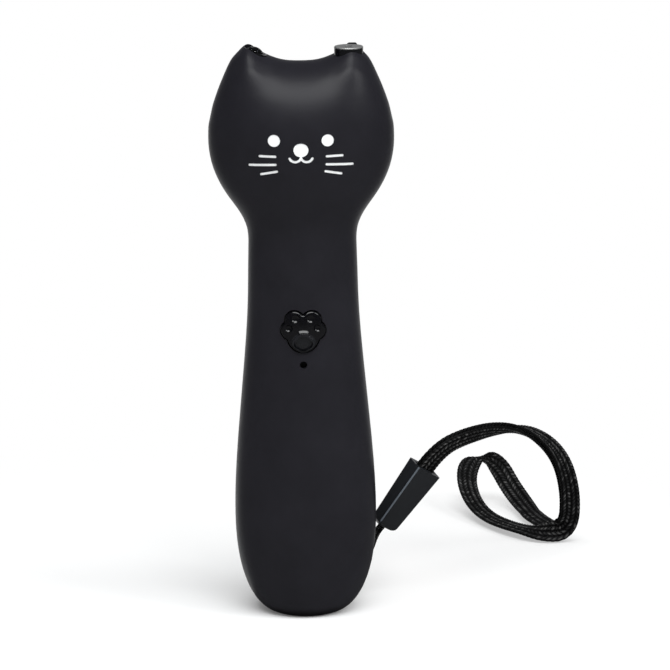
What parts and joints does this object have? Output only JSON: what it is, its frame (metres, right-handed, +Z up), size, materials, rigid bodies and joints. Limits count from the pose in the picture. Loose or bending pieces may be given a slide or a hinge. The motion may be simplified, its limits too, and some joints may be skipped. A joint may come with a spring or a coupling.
{
  "type": "cat laser pointer",
  "caption": "Hand-held pet toy shaped like an upright cat: laser in one ear, lamp in the other, paw push button at the front and a woven wrist strap on a lanyard eyelet.",
  "frame": {"origin": "centre of the flat foot that it stands on", "axes": "+Z up from the foot to the ears, +X to the right as seen from the face, +Y to the rear; the face and the button look along -Y"},
  "size_m": [0.0983, 0.1272, 0.1497],
  "materials": {
    "body_black": "satin",
    "gloss_black": "gloss",
    "face_white": "satin",
    "silver": "satin",
    "brass": "satin",
    "clear": "clear",
    "board_green": "satin",
    "chip_black": "matte",
    "steel": "satin",
    "cell_case": "satin film",
    "foam": "matte",
    "lead_insulation": "satin",
    "led_white": "gloss",
    "strap_clip_black": "satin",
    "webbing": "woven"
  },
  "bodies": {
    "housing": {"front_shell": "body_black", "rear_shell": "body_black", "face_inlay": "face_white", "switch_body": "steel", "indicator_light_pipe": "gloss_black", "indicator_led": "led_white", "laser_sleeve": "gloss_black", "laser_cap": "silver", "laser_window": "clear", "laser_barrel": "brass", "laser_lens": "clear", "laser_diode": "steel", "laser_driver_board": "board_green", "lamp_rim": "gloss_black", "lamp_lens": "clear", "lamp_board": "board_green", "lamp_led": "led_white", "main_board": "board_green", "board_chips": "chip_black", "board_screws": "steel", "case_screws": "steel", "battery_cell": "cell_case", "battery_pad": "foam", "charge_board": "board_green", "socket_shell": "steel", "socket_tongue": "chip_black", "laser_leads": "lead_insulation", "lamp_leads": "lead_insulation", "battery_leads": "lead_insulation", "charge_leads": "lead_insulation", "strap_clip": "strap_clip_black", "strap_cord": "webbing", "wrist_band": "webbing"},
    "button": {"paw_button": "gloss_black", "switch_plunger": "chip_black"}
  },
  "joints": [
    {"name": "button_press", "type": "slide", "parent": "housing", "child": "button", "axis": [0, 1, 0], "range_m": [0, 0.0003], "stiffness_N_per_m": 4000, "springref_m": -0.0001}
  ]
}
